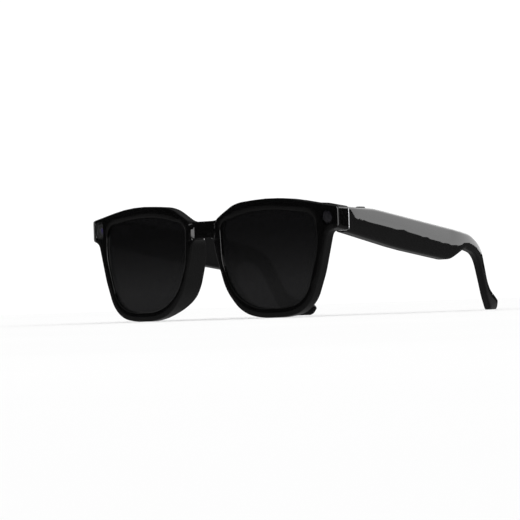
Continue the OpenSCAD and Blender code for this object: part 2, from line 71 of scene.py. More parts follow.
# Sizes that the detailed pieces share with the model, in millimetres ------------------------------
HALF_W = cad_high.x / MM
WRAP = 5.0
FACE_R = (HALF_W**2 + WRAP**2) / (2 * WRAP)
RIM_DEPTH = 4.8
END_DEPTH = 12.9
SEAM_Y = 13.3
END_TOP = 47.2
END_BOTTOM = 36.8
END_INNER = 63.8
LENS_AT = 1.25
LENS_T = 1.9
LENS_GROOVE = 0.75
CAMERA_X = 69.5
CAMERA_Z = 42.6
CAMERA_TILT = math.radians(5)
POCKET_W = 6.2
POCKET_H = 8.2
POCKET_R = 1.6
POCKET_DEPTH = 7.2
WINDOW_R = 3.0
WINDOW_SEAT = 1.35
TEMPLE_X = 74.5
TEMPLE_SLOPE = 0.045
TEMPLE_BEND = 0.0042
BEND_AT = 77.0
TEMPLE_T = 7.2
TIP_T = 4.0
THIN_FROM = 80.0
THIN_TO = 96.0
TEMPLE_LEN = 127.0
WALL = 1.2
CAVITY_FROM = 10.3
CAVITY_TO = 73.0
CUT_GAP = 0.05

# Half of the front outline and the left lens opening: x, height and corner radius
HALF_FRONT = [(7.5, 44.1, 10), (19, 51.2, 22), (44, 53.15, 100), (75, 47.2, 1.2), (75, 38.3, 1.4),
              (69.9, 36.6, 4), (65.3, 19, 40), (58.8, 2.2, 16), (45, 0, 50), (33, 0, 40), (22, 2.4, 20),
              (13, 12.7, 25), (7.7, 29, 40), (6.3, 36.5, 3.5)]
LENS_OUTLINE = [(10.5, 43.2, 5), (27, 47.1, 50), (42, 47.6, 80), (63.6, 44.8, 6.5), (64.4, 30, 30),
                (57.3, 6.8, 13), (46, 4.2, 30), (29.5, 4.2, 25), (17.5, 11, 20), (11.3, 25, 25)]
# Side outline of a temple: distance behind the seam, height and corner radius
SIDE_OUTLINE = [(0, 47.1, 0.8), (20, 46.2, 60), (78, 37.4, 60), (93.4, 34.7, 25), (104, 29.5, 16),
                (112.7, 10.3, 14), (128.2, 4.2, 1.6), (125.4, 0, 3), (114, 0, 2.4), (109.2, 6, 20),
                (99.6, 25.4, 13), (88, 28.6, 5), (76, 23.2, 12), (38, 28.7, 200), (0, 36.2, 0.8)]
TOP_EDGE = [(0, 47.1), (20, 46.2), (78, 37.4)]
BOTTOM_EDGE = [(0, 36.2), (38, 28.7), (76, 23.2)]
# Groove for the cable along the back of the brow
BROW_HALF = [(0, 40.3), (6, 40.6), (9.3, 42.2), (14, 45.9), (22, 48.9), (42, 50.1), (56, 48.7), (65, 46.6)]
BROW_W = 2.0
BROW_COVER_T = 0.7
# How far a nose pad stands out behind its rim at each height
NOSE_PAD = [(1, 0.6), (3, 2.8), (5, 4.4), (8, 6.0), (11, 6.7), (16, 6.9), (20, 6.9), (24, 6.8), (28, 6.2),
            (32, 5.2), (35, 4.2), (36.5, 2.8), (38, 0)]


# Camera -------------------------------------------------------------------------------------------
def make_camera():
    """Long lens, a little above the floor, looking at the front and the left temple."""
    azimuth, elevation, roll = map(math.radians, (41.8, -0.95, -1.98))
    distance = 1.255
    target = Vector((0, BRIDGE_Y + 40 * MM, 25 * MM))
    slide_right, slide_up = 1.2 * MM, -1.35 * MM
    back = Vector((math.sin(azimuth) * math.cos(elevation), -math.cos(azimuth) * math.cos(elevation),
                   math.sin(elevation)))
    level_right = Vector((math.cos(azimuth), math.sin(azimuth), 0))
    level_up = back.cross(level_right)
    right = level_right * math.cos(roll) + level_up * math.sin(roll)
    up = level_up * math.cos(roll) - level_right * math.sin(roll)
    data = bpy.data.cameras.new("camera")
    data.sensor_width = 36
    data.lens = 189.7
    data.clip_start = 0.05
    data.clip_end = 60
    camera = bpy.data.objects.new("camera", data)
    scene.collection.objects.link(camera)
    place = target + back * distance - right * slide_right - up * slide_up
    axes = Matrix((right, up, back)).transposed().to_4x4()
    camera.matrix_world = Matrix.Translation(place) @ axes
    scene.camera = camera


make_camera()


# Materials ----------------------------------------------------------------------------------------
def shade_tree(name):
    """A new material, its node tree and its Principled shader."""
    made = bpy.data.materials.new(name)
    made.use_nodes = True
    tree = made.node_tree
    return made, tree, tree.nodes["Principled BSDF"]


def noise(tree, scale, stretch=(1, 1, 1), detail=4.0):
    """Noise over the object's own coordinates. Its scale is per metre."""
    place = tree.nodes.new("ShaderNodeTexCoord")
    mapping = tree.nodes.new("ShaderNodeMapping")
    mapping.inputs["Scale"].default_value = stretch
    texture = tree.nodes.new("ShaderNodeTexNoise")
    texture.inputs["Scale"].default_value = scale
    texture.inputs["Detail"].default_value = detail
    texture.inputs["Roughness"].default_value = 0.55
    tree.links.new(place.outputs["Object"], mapping.inputs["Vector"])
    tree.links.new(mapping.outputs["Vector"], texture.inputs["Vector"])
    return texture.outputs["Fac"]


def spread(tree, value, low, high, start=0.3, end=0.7):
    """The value's middle range mapped to low and high."""
    node = tree.nodes.new("ShaderNodeMapRange")
    node.inputs["From Min"].default_value = start
    node.inputs["From Max"].default_value = end
    node.inputs["To Min"].default_value = low
    node.inputs["To Max"].default_value = high
    tree.links.new(value, node.inputs["Value"])
    return node.outputs["Result"]


def blend_colours(tree, value, one, two):
    """One colour turning to the other as the value goes from 0 to 1."""
    ramp = tree.nodes.new("ShaderNodeValToRGB")
    ramp.color_ramp.elements[0].position = 0.32
    ramp.color_ramp.elements[1].position = 0.68
    ramp.color_ramp.elements[0].color = (*one, 1)
    ramp.color_ramp.elements[1].color = (*two, 1)
    tree.links.new(value, ramp.inputs["Fac"])
    return ramp.outputs["Color"]


def bump(tree, shader, height, strength, distance):
    """Surface relief of the given depth, in metres."""
    node = tree.nodes.new("ShaderNodeBump")
    node.inputs["Strength"].default_value = strength
    node.inputs["Distance"].default_value = distance
    tree.links.new(height, node.inputs["Height"])
    tree.links.new(node.outputs["Normal"], shader.inputs["Normal"])


def gloss_black(name, rough=(0.035, 0.06)):
    """Polished injection-moulded black with faint handling haze and orange peel."""
    made, tree, shader = shade_tree(name)
    haze = noise(tree, 95, detail=6)
    black = 0.0012
    tree.links.new(blend_colours(tree, haze, (black,) * 3, (black * 1.5, black * 1.5, black * 1.6)),
                   shader.inputs["Base Color"])
    tree.links.new(spread(tree, haze, *rough), shader.inputs["Roughness"])
    bump(tree, shader, noise(tree, 160, detail=1), 0.02, 0.00002)
    shader.inputs["IOR"].default_value = 1.5
    return made


def grained(name, colour, rough, grain=2600, depth=0.00003, metallic=0.0, stretch=(1, 1, 1), varied=0.35,
            shine=0.5):
    """Fine-grained plastic, rubber, foil or brushed metal."""
    made, tree, shader = shade_tree(name)
    cloud = noise(tree, grain / 12, stretch, detail=5)
    lighter = [min(1, c * (1 + varied)) for c in colour]
    darker = [c * (1 - varied) for c in colour]
    tree.links.new(blend_colours(tree, cloud, darker, lighter), shader.inputs["Base Color"])
    tree.links.new(spread(tree, cloud, rough * 0.82, min(1, rough * 1.2)), shader.inputs["Roughness"])
    bump(tree, shader, noise(tree, grain, stretch, detail=2), 0.35, depth)
    shader.inputs["Metallic"].default_value = metallic
    shader.inputs["Specular IOR Level"].default_value = shine
    return made


def clear(name, tint, rough=0.02, index=1.5, haze=0.03, bottom_colour=None, through=1.0):
    """Clear or tinted polycarbonate; given a bottom colour, its colour goes from that colour at the bottom
    to the tint higher up.
    """
    made, tree, shader = shade_tree(name)
    cloud = noise(tree, 160, detail=5)
    # the colour runs from the bottom colour low on the lens to the tint higher up
    if bottom_colour:
        place = tree.nodes.new("ShaderNodeTexCoord")
        split = tree.nodes.new("ShaderNodeSeparateXYZ")
        tree.links.new(place.outputs["Object"], split.inputs["Vector"])
        height = spread(tree, split.outputs["Z"], 0.2, 0.8, 0.004, 0.048)
        tree.links.new(blend_colours(tree, height, bottom_colour, tint), shader.inputs["Base Color"])
    else:
        tree.links.new(blend_colours(tree, cloud, [c * 0.97 for c in tint], tint),
                       shader.inputs["Base Color"])
    tree.links.new(spread(tree, cloud, rough, rough + haze), shader.inputs["Roughness"])
    bump(tree, shader, noise(tree, 90, detail=1), 0.04, 0.00002)
    shader.inputs["Transmission Weight"].default_value = through
    shader.inputs["IOR"].default_value = index
    return made


def coated_lens(name):
    """Front element of a camera lens: coated glass in deep and lighter violet."""
    made, tree, shader = shade_tree(name)
    rings = noise(tree, 900, detail=3)
    tree.links.new(blend_colours(tree, rings, (0.05, 0.03, 0.24), (0.20, 0.10, 0.62)),
                   shader.inputs["Base Color"])
    tree.links.new(spread(tree, rings, 0.03, 0.08), shader.inputs["Roughness"])
    shader.inputs["Coat Weight"].default_value = 0.6
    shader.inputs["Coat Tint"].default_value = (0.5, 0.45, 1.0, 1)
    return made


def circuit_board(name):
    """Green solder mask over copper tracks."""
    made, tree, shader = shade_tree(name)
    place = tree.nodes.new("ShaderNodeTexCoord")
    tracks = tree.nodes.new("ShaderNodeTexBrick")
    tracks.inputs["Scale"].default_value = 900
    tracks.inputs["Mortar Size"].default_value = 0.03
    tracks.inputs["Color1"].default_value = (0.012, 0.10, 0.035, 1)
    tracks.inputs["Color2"].default_value = (0.016, 0.13, 0.045, 1)
    tracks.inputs["Mortar"].default_value = (0.06, 0.24, 0.08, 1)
    swap = tree.nodes.new("ShaderNodeMapping")
    swap.inputs["Rotation"].default_value = (0, math.radians(90), 0)
    tree.links.new(place.outputs["Object"], swap.inputs["Vector"])
    tree.links.new(swap.outputs["Vector"], tracks.inputs["Vector"])
    tree.links.new(tracks.outputs["Color"], shader.inputs["Base Color"])
    tree.links.new(spread(tree, noise(tree, 500), 0.22, 0.4), shader.inputs["Roughness"])
    bump(tree, shader, tracks.outputs["Fac"], 0.3, 0.00003)
    return made


ALONG_TEMPLE = (1, 0.08, 1)
FINISH = {
    "front_plastic": gloss_black("front_plastic"),
    "temple_plastic": gloss_black("temple_plastic", rough=(0.025, 0.045)),
    "lid_plastic": grained("lid_plastic", (0.002, 0.002, 0.0022), 0.55, grain=5200, depth=0.00001,
                           shine=0.05),
    # the dark lens is drawn lighter towards its bottom
    "dark_lens": clear("dark_lens", (0.0052, 0.0052, 0.0056), rough=0.006, haze=0.01,
                       bottom_colour=(0.0145, 0.0145, 0.015), through=0.5),
    "clear_cover": clear("clear_cover", (0.93, 0.94, 0.95), rough=0.02, haze=0.06),
    "camera_glass": clear("camera_glass", (0.62, 0.6, 0.72), rough=0.01, index=1.55, haze=0.02),
    "barrel_coating": grained("barrel_coating", (0.008, 0.008, 0.010), 0.28, grain=4000),
    "holder_plastic": grained("holder_plastic", (0.006, 0.006, 0.0065), 0.34, grain=4200, depth=0.00002),
    "gasket": grained("gasket", (0.46, 0.49, 0.17), 0.62, grain=3800),
    "seam_metal": grained("seam_metal", (0.88, 0.89, 0.91), 0.3, metallic=0.2, depth=0.000008,
                          varied=0.06),
    "hinge_steel": grained("hinge_steel", (0.55, 0.56, 0.58), 0.30, metallic=1.0, stretch=(1, 1, 0.07),
                           varied=0.12),
    "gold": grained("gold", (0.83, 0.60, 0.24), 0.2, metallic=1.0, varied=0.08),
    "board": circuit_board("board"),
    "flex": grained("flex", (0.42, 0.20, 0.04), 0.35, grain=3000, varied=0.2),
    "battery_foil": grained("battery_foil", (0.55, 0.57, 0.6), 0.33, metallic=1.0, stretch=ALONG_TEMPLE,
                            varied=0.1),
    "speaker_case": grained("speaker_case", (0.03, 0.03, 0.033), 0.5),
    "mesh_metal": grained("mesh_metal", (0.10, 0.10, 0.105), 0.36, metallic=0.8, varied=0.2),
    "spring_steel": grained("spring_steel", (0.68, 0.62, 0.44), 0.26, metallic=1.0, varied=0.1),
    "light_guide": grained("light_guide", (0.72, 0.73, 0.72), 0.3, varied=0.08),
}
VIOLET = coated_lens("violet_element")


# Shape tools --------------------------------------------------------------------------------------
def rounded(points, step=4.0):
    """The closed outline of x, y, radius points, with each corner an arc of steps in degrees."""
    outline = []
    count = len(points)
    for i in range(count):
        before, corner, after = (Vector(points[k % count][:2]) for k in (i - 1, i, i + 1))
        u = (before - corner).normalized()
        v = (after - corner).normalized()
        half = math.acos(max(-1, min(1, u.dot(v)))) / 2
        radius = points[i][2]
        middle = corner + (u + v).normalized() * (radius / math.sin(half))
        start = corner + u * (radius / math.tan(half)) - middle
        sweep = math.copysign(math.pi - 2 * half, v.x * u.y - v.y * u.x)
        steps = max(1, math.ceil(abs(math.degrees(sweep)) / step))
        for k in range(steps + 1):
            turn = sweep * k / steps
            outline.append(middle + Vector((start.x * math.cos(turn) - start.y * math.sin(turn),
                                            start.x * math.sin(turn) + start.y * math.cos(turn))))
    return outline


def grown(outline, by):
    """The outline moved outwards along its own normals."""
    count = len(outline)
    area = sum(outline[i].x * outline[(i + 1) % count].y - outline[i].y * outline[(i + 1) % count].x
               for i in range(count))
    way = math.copysign(by, area)
    moved = []
    for i in range(count):
        along = (outline[(i + 1) % count] - outline[i - 1]).normalized()
        moved.append(outline[i] + Vector((along.y, -along.x)) * way)
    return moved


def mirrored(outline):
    """The outline on the other side of the bridge."""
    return [Vector((-p.x, p.y)) for p in reversed(outline)]


def rectangle(x0, x1, y0, y1, radius):
    """Rounded rectangle."""
    return rounded([(x0, y0, radius), (x1, y0, radius), (x1, y1, radius), (x0, y1, radius)], 15)


def centred(width, height, radius):
    """Rounded rectangle about the origin."""
    return rectangle(-width / 2, width / 2, -height / 2, height / 2, radius)


def ease(low, high, value):
    """Smooth step from 0 at low to 1 at high, which may be the smaller, for numbers and arrays."""
    t = np.clip((value - low) / (high - low), 0, 1)
    return t * t * (3 - 2 * t)


def face_y(x):
    """How far the curved face lies behind the bridge."""
    return FACE_R - np.sqrt(FACE_R**2 - np.square(x))


# Where the camera axis meets the face
CAMERA_Y = float(face_y(CAMERA_X))


def height_on(line, place):
    """Height of a line of points at a place along it."""
    return np.interp(place, *zip(*line))


def drawn_box(node):
    """Low and high corner of a node in millimetres, with y from the front of the bridge."""
    return [(np.array(corner) - (0, BRIDGE_Y, 0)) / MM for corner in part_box(node)]


def outline_distance(points, outline):
    """Distance from each point to the nearest edge of the outline."""
    best = np.full(len(points), 1e9)
    corners = np.array([(p.x, p.y) for p in outline])
    for start, end in zip(corners, np.roll(corners, -1, axis=0)):
        edge = end - start
        share = np.clip(((points - start) @ edge) / max(1e-12, edge @ edge), 0, 1)
        best = np.minimum(best, np.linalg.norm(points - start - share[:, None] * edge, axis=1))
    return best


def plate(outlines, thick, bevel, rings=3):
    """Flat plate about z = 0 with rounded edges; inner outlines are openings."""
    curve = bpy.data.curves.new("outline", "CURVE")
    curve.dimensions = "2D"
    curve.fill_mode = "BOTH"
    curve.extrude = thick / 2 - bevel
    curve.bevel_depth = bevel
    curve.bevel_resolution = rings
    curve.offset = -bevel
    for outline in outlines:
        spline = curve.splines.new("POLY")
        spline.points.add(len(outline) - 1)
        for point, place in zip(spline.points, outline):
            point.co = (place.x, place.y, 0, 1)
        spline.use_cyclic_u = True
    holder = bpy.data.objects.new("outline", curve)
    scene.collection.objects.link(holder)
    mesh = bpy.data.meshes.new_from_object(holder.evaluated_get(bpy.context.evaluated_depsgraph_get()))
    bpy.data.objects.remove(holder)
    shape = bmesh.new()
    shape.from_mesh(mesh)
    bpy.data.meshes.remove(mesh)
    bmesh.ops.remove_doubles(shape, verts=shape.verts, dist=1e-3)
    return shape


def sliced(shape, axis, places):
    """Cuts the shape's faces along planes square to an axis, so that it can bend."""
    normal = Vector((0, 0, 0))
    normal[axis] = 1
    for place in places:
        bmesh.ops.bisect_plane(shape, geom=shape.verts[:] + shape.edges[:] + shape.faces[:],
                               dist=1e-4, plane_co=normal * place, plane_no=normal)
    return shape


def lathe(profile, steps=64):
    """Solid of revolution about z from radius, height points."""
    shape = bmesh.new()
    rings = []
    for radius, height in profile:
        if radius < 1e-6:
            rings.append([shape.verts.new((0, 0, height))] * steps)
        else:
            rings.append([shape.verts.new((radius * math.cos(math.tau * k / steps),
                                           radius * math.sin(math.tau * k / steps), height))
                          for k in range(steps)])
    closed = profile[0][0] > 1e-6 and profile[-1][0] > 1e-6
    pairs = list(zip(rings, rings[1:] + (rings[:1] if closed else [])))
    for low, high in pairs[:len(rings) if closed else len(rings) - 1]:
        for k in range(steps):
            corners = []
            for vert in (low[k], low[(k + 1) % steps], high[(k + 1) % steps], high[k]):
                if vert not in corners:
                    corners.append(vert)
            if len(corners) > 2:
                shape.faces.new(corners)
    return shape


def skin(shape, one, two):
    """Faces between two closed rings of points."""
    for k in range(len(one)):
        after = (k + 1) % len(one)
        shape.faces.new((one[k], one[after], two[after], two[k]))


def block(x0, x1, y0, y1, z0, z1):
    """Cutter with six faces."""
    shape = bmesh.new()
    bmesh.ops.create_cube(shape, size=1)
    for vert in shape.verts:
        vert.co = Vector((x0 if vert.co.x < 0 else x1, y0 if vert.co.y < 0 else y1,
                          z0 if vert.co.z < 0 else z1))
    return shape


def prism(outline, low, high):
    """Cutter with an outline in x and z, from low to high along y."""
    shape = bmesh.new()
    near = [shape.verts.new((p.x, low, p.y)) for p in outline]
    far = [shape.verts.new((p.x, high, p.y)) for p in outline]
    shape.faces.new(near)
    shape.faces.new(far)
    skin(shape, near, far)
    return shape


def bent(shape, change):
    """Moves all the shape's points with a function of their coordinates as arrays."""
    places = np.array([v.co for v in shape.verts])
    for vert, place in zip(shape.verts, change(places)):
        vert.co = place
    return shape


def outward(shape):
    """Turns all the faces of a closed shape outwards."""
    bmesh.ops.recalc_face_normals(shape, faces=shape.faces)
    if shape.calc_volume(signed=True) < 0:
        bmesh.ops.reverse_faces(shape, faces=shape.faces)


def to_object(shape, name, side=1):
    """An object from a shape in millimetres, on the left or, mirrored, on the right."""
    shape.transform(Matrix.Diagonal((side, 1, 1, 1)))
    outward(shape)
    shape.transform(Matrix.Translation((0, BRIDGE_Y, 0)) @ Matrix.Scale(MM, 4))
    mesh = bpy.data.meshes.new(name)
    shape.to_mesh(mesh)
    shape.free()
    made = bpy.data.objects.new(name, mesh)
    scene.collection.objects.link(made)
    return made


def carved(piece, cutters, side=1):
    """Cuts shapes out of a piece, one after the other."""
    for number, shape in enumerate(cutters):
        cutter = to_object(shape, f"cutter_{number}", side)
        cut = piece.modifiers.new("cut", "BOOLEAN")
        cut.operation = "DIFFERENCE"
        cut.solver = "EXACT"
        cut.object = cutter
        mesh = bpy.data.meshes.new_from_object(
            piece.evaluated_get(bpy.context.evaluated_depsgraph_get()))
        piece.modifiers.clear()
        old = piece.data
        piece.data = mesh
        bpy.data.meshes.remove(old)
        bpy.data.objects.remove(cutter)
    return piece


def piece_of(piece, body, slot, replaced=(), finish=None, crease=35):
    """Shades a piece smoothly up to an angle, gives it its finish and hangs it on a body."""
    mesh = piece.data
    mesh.materials.clear()
    mesh.materials.append(finish or FINISH[slot])
    mesh.shade_smooth()
    mesh.set_sharp_from_angle(angle=math.radians(crease))
    even = piece.modifiers.new("even", "WEIGHTED_NORMAL")
    even.keep_sharp = True
    even.weight = 80
    if replaced:
        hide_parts(*replaced)
    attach(piece, body)
    return piece


# Front --------------------------------------------------------------------------------------------
FRONT_OUTLINE = rounded(HALF_FRONT + [(-x, z, r) for x, z, r in reversed(HALF_FRONT)])
LENS_POINTS = rounded(LENS_OUTLINE)
FRONT_BEVEL = 0.42
BROW_DOME = 0.08
BROW_DOME_REACH = 2.6
LENS_DOME = 0.15
# The bridge is set back between two distances from its middle
BRIDGE_SET_BACK = 1.4
BRIDGE_FROM = 9.5
BRIDGE_TO = 18
END_CORNER = 0.13
END_CORNER_FROM = 72.0
END_UNDERSIDE = [HALF_FRONT[5][:2], HALF_FRONT[4][:2]]
# Half sizes of the room behind a pocket, and where a hinge slot runs beside its front leaf
ROOM_HALF_W = 3.3
ROOM_HALF_H = 3.7
LEAF_SLOT = (0.85, 2.15)
# Seats on the back of the bridge: x, height and radius
SEAT_DEPTH = 1.4
SEATS = ((4, 38.2, 0.65), (-4, 38.2, 0.65), (0, 42.8, 0.85))


def front_thickness(x, z):
    """Thickness of the rims, nose pads and end pieces, and how far each point belongs to an end piece."""
    across = np.abs(x)
    end = ease(END_INNER, END_INNER + 0.5, across) * ease(END_BOTTOM - 0.4, END_BOTTOM + 0.6, z)
    flat = np.stack([across, z], axis=1)
    to_lens = outline_distance(flat, LENS_POINTS)
    to_edge = outline_distance(flat, FRONT_OUTLINE)
    lean = to_lens / np.maximum(1e-6, to_lens + to_edge)
    pad = (height_on(NOSE_PAD, z) * (0.3 + 0.7 * ease(0, 1, lean))
           * (1 - ease(15, 31, across)) * ease(3.5, 6, across))
    ends_at = END_DEPTH - face_y(x)
    return RIM_DEPTH + pad + (ends_at - RIM_DEPTH) * end, end


def shape_front(places):
    """Bends the flat front plate to its wrap, its end pieces and its nose pads."""
    x, z = places[:, 0], places[:, 1]
    depth = places[:, 2] + RIM_DEPTH / 2
    thick, end = front_thickness(x, z)
    behind = ease(0.3, 0.7, depth / RIM_DEPTH)
    rim_back = RIM_DEPTH - depth
    back_at = thick - rim_back * (1 - 0.8 * end)
    at = depth * (1 - behind) + back_at * behind
    # the underside of an end piece slopes down to the seam
    across = np.abs(x)
    under = height_on(END_UNDERSIDE, across)
    stretch = (END_TOP - END_BOTTOM - 0.1) / (END_TOP - under)
    drop = (END_TOP - z) * (stretch - 1) * behind * end * ease(69.5, 71, across)
    # a slight dome across the brow and the rims
    flat = np.stack([across, z], axis=1)
    edge = np.minimum(outline_distance(flat, LENS_POINTS), outline_distance(flat, FRONT_OUTLINE))
    dome = BROW_DOME * (1 - np.clip(edge / BROW_DOME_REACH, 0, 1)) ** 2 * (1 - behind)
    # the bridge is set back, with a slope down to it from each rim
    set_back = (BRIDGE_SET_BACK * ease(3.4, 4.8, outline_distance(flat, LENS_POINTS))
                * ease(33, 38, z) * ease(BRIDGE_TO, BRIDGE_FROM, across))
    # the outer front corners fall away
    corner = END_CORNER * np.square(np.clip(across - END_CORNER_FROM, 0, None)) * (1 - behind)
    return np.stack([x, face_y(x) + at + dome + corner + set_back * (1 - behind), z - drop], axis=1)


def camera_axes():
    """Local frame of the left camera: origin on the face, x outwards, y up, z out to the front."""
    return (Matrix.Translation((CAMERA_X, CAMERA_Y, CAMERA_Z))
            @ Matrix.Rotation(math.pi / 2 + CAMERA_TILT, 4, "X"))


def brow_groove():
    """Strip along the back of the brow that the cable's cover fills."""
    upper = [Vector((x, z + BROW_W / 2)) for x, z in BROW_HALF]
    lower = [Vector((x, z - BROW_W / 2)) for x, z in BROW_HALF]
    outline = (upper + lower[::-1] + [Vector((-p.x, p.y)) for p in lower[1:]]
               + [Vector((-p.x, p.y)) for p in upper[:0:-1]])
    shape = bmesh.new()
    low, high = RIM_DEPTH - BROW_COVER_T - CUT_GAP, RIM_DEPTH + 1
    near, far = ([shape.verts.new((p.x, float(face_y(p.x)) + at, p.y)) for p in outline]
                 for at in (low, high))
    half = len(BROW_HALF)
    for ring in (near, far):
        for k in range(half - 1):
            shape.faces.new((ring[k], ring[k + 1], ring[2 * half - 2 - k], ring[2 * half - 1 - k]))
        left = [ring[0]] + ring[:3 * half - 2:-1]
        under = ring[2 * half - 1:3 * half - 1]
        for k in range(half - 1):
            shape.faces.new((left[k], left[k + 1], under[k + 1], under[k]))
    skin(shape, near, far)
    return shape


def front_cutters():
    """Camera pockets, the rooms behind them, hinge slots, and the seats on the back of the bridge."""
    cutters = []
    (x0, y0, z0), (_, _, z1) = drawn_box("hinge_front_left")
    for side in (1, -1):
        room = prism(rectangle(CAMERA_X - ROOM_HALF_W, CAMERA_X + ROOM_HALF_W,
                               CAMERA_Z - ROOM_HALF_H, CAMERA_Z + ROOM_HALF_H, 1),
                     CAMERA_Y + POCKET_DEPTH - 0.4, END_DEPTH + 1)
        slot = block(x0 + LEAF_SLOT[0], x0 + LEAF_SLOT[1], y0 - CUT_GAP, END_DEPTH + 1,
                     z0 - CUT_GAP, z1 + CUT_GAP)
        if side > 0:
            radius = WINDOW_R + 0.06
            pocket = lathe([(0, -WINDOW_SEAT), (radius, -WINDOW_SEAT), (radius, 2), (0, 2)])
        else:
            pocket = prism(centred(POCKET_W, POCKET_H, POCKET_R), -2, POCKET_DEPTH)
            pocket.transform(Matrix.Rotation(-math.pi / 2, 4, "X"))
        pocket.transform(camera_axes())
        for shape in (room, slot, pocket):
            shape.transform(Matrix.Diagonal((side, 1, 1, 1)))
            cutters.append(shape)
    cutters.append(brow_groove())
    for x, z, radius in SEATS:
        seat = lathe([(0, 0), (radius, 0), (radius, 3), (0, 3)], 32)
        seat.transform(Matrix.Translation((x, RIM_DEPTH - SEAT_DEPTH, z))
                       @ Matrix.Rotation(-math.pi / 2, 4, "X"))
        cutters.append(seat)
    return cutters


def build_front():
    """One moulded front: brow, rims, bridge, end pieces and nose pads."""
    shape = plate([FRONT_OUTLINE, LENS_POINTS, mirrored(LENS_POINTS)], RIM_DEPTH, FRONT_BEVEL)
    step = 1.0
    across = list(np.arange(-HALF_W + step, HALF_W - step / 2, step))
    # closer cuts where an end piece begins
    across += [s * (END_INNER + d) for s in (-1, 1) for d in (0, 0.12, 0.25, 0.38, 0.5)]
    upwards = list(np.arange(1.5, 52, step)) + [35.65, 35.8, 36.0, 36.25]
    sliced(shape, 0, sorted(across))
    sliced(shape, 1, sorted(upwards))
    bent(shape, shape_front)
    front = to_object(shape, "front_shell")
    carved(front, front_cutters())
    return piece_of(front, "front", "front_plastic", ["front_frame"], crease=32)


def shape_lens(places):
    """Bends a flat lens to the wrap of the front, with a slight dome of its own."""
    x, z, depth = places[:, 0], places[:, 1], places[:, 2] + LENS_T / 2
    middle = np.array([(p.x, p.y) for p in LENS_POINTS]).mean(axis=0)
    reach = np.hypot((x - middle[0]) / 30, (z - middle[1]) / 26)
    dome = LENS_DOME * (1 - np.clip(reach, 0, 1) ** 2)
    return np.stack([x, face_y(x) + LENS_AT + depth - dome, z], axis=1)


def build_lens(side, name):
    """A dark lens, held in the groove of its rim."""
    shape = plate([grown(LENS_POINTS, LENS_GROOVE)], LENS_T, 0.3, 2)
    sliced(shape, 0, np.arange(12, 64, 2.0))
    sliced(shape, 1, np.arange(6, 47, 2.0))
    bent(shape, shape_lens)
    return piece_of(to_object(shape, f"{name}_glass", side), "front", "dark_lens", [name])


# Temples ------------------------------------------------------------------------------------------
LEAD = 4.0
EDGE_ROUND = 1.15
# The outer face is crowned about this line of distances and heights, and about the middle of the hook
RIDGE = [(0, 45.5), (7, 44.0), (17, 42.1), (37, 39.1), (57, 35.4), (67, 33.3), (76, 31.9)]
CROWN_RATE = 0.028
HOOK_HALF_W = 3.1
HOOK_CROWN = 0.4
HOOK_LEAN = 0.012
# A temple leaves the seam in line with the end piece and has turned in after this length
TURN_LEN = 7.0
# The button's slot and its cap are this much smaller all round than its flange
BUTTON_LIP = 0.35
CAP_LIP = 0.5
CAP_T = 2.2
# How far the bright bead stands out of the seam on each side
BEAD_SWELL = 0.04
BEAD_SIDES = 12
BEAD_CORNER = 1.3


def temple_outer(s):
    """x of the outer face of a temple."""
    turning = np.clip(s, 0, TURN_LEN)
    inward = s - turning + np.square(turning) / (2 * TURN_LEN)
    return TEMPLE_X - TEMPLE_SLOPE * inward - TEMPLE_BEND * np.square(np.maximum(0, s - BEND_AT))


def temple_thick(s):
    """Thickness of a temple."""
    return TEMPLE_T + (TIP_T - TEMPLE_T) * ease(THIN_FROM, THIN_TO, s)


def shape_temple(places):
    """Bends the flat temple plate, thins it to the tip and crowns its outer face."""
    s, z, out = places[:, 0], places[:, 1], places[:, 2] / TEMPLE_T + 0.5
    flat = np.stack([s, z], axis=1)
    near = outline_distance(flat, temple_outline())
    housing = 0.5 * CROWN_RATE * np.square(z - height_on(RIDGE, s))
    hook = HOOK_CROWN * (1 - np.clip(near / HOOK_HALF_W, 0, 1)) ** 2 + HOOK_LEAN * (8 - z)
    share = ease(74, 92, s)
    crown = (housing * (1 - share) + hook * share) * ease(0.3, 0.9, out)
    x = temple_outer(s) - (1 - out) * temple_thick(s) - crown
    return np.stack([x, SEAM_Y + s, z], axis=1)


def temple_outline():
    """The side outline, carried on in front of the seam, where it is cut off square."""
    slope_top = (TOP_EDGE[1][1] - TOP_EDGE[0][1]) / TOP_EDGE[1][0]
    slope_bottom = (BOTTOM_EDGE[1][1] - BOTTOM_EDGE[0][1]) / BOTTOM_EDGE[1][0]
    front = [(-LEAD, TOP_EDGE[0][1] - slope_top * LEAD, 1)] + SIDE_OUTLINE[1:-1]
    return rounded(front + [(-LEAD, BOTTOM_EDGE[0][1] - slope_bottom * LEAD, 1)])


def housing_cutters(side):
    """The room inside a temple housing and, on the left, the button's slot."""
    stations = (CAVITY_FROM, 20, 38, CAVITY_TO)
    shape = bmesh.new()
    rings = []
    for s in stations:
        top = height_on(TOP_EDGE, s) - WALL
        bottom = height_on(BOTTOM_EDGE, s) + WALL
        outer = float(temple_outer(s)) - WALL
        inner = outer - TEMPLE_T
        rings.append([shape.verts.new((x, SEAM_Y + s, z)) for x, z in
                      ((outer, top), (outer, bottom), (inner, bottom), (inner, top))])
    for one, two in zip(rings, rings[1:]):
        skin(shape, one, two)
    shape.faces.new(rings[0])
    shape.faces.new(rings[-1])
    (x0, y0, z0), (x1, y1, z1) = drawn_box("hinge_rear_left")
    leaf_slot = block(x0 - 1, x1 + CUT_GAP, y0, y1 + CUT_GAP, z0 - CUT_GAP, z1 + CUT_GAP)
    cutters = [shape, leaf_slot]
    if side > 0:
        (x0, y0, _), (x1, y1, top) = drawn_box("capture_button")
        slot = plate([rectangle(x0 + BUTTON_LIP, x1 - BUTTON_LIP, y0 + BUTTON_LIP, y1 - BUTTON_LIP, 1.2)],
                     8, 0.01, 0)
        slot.transform(Matrix.Translation((0, 0, top)))
        cutters.append(slot)
    return cutters


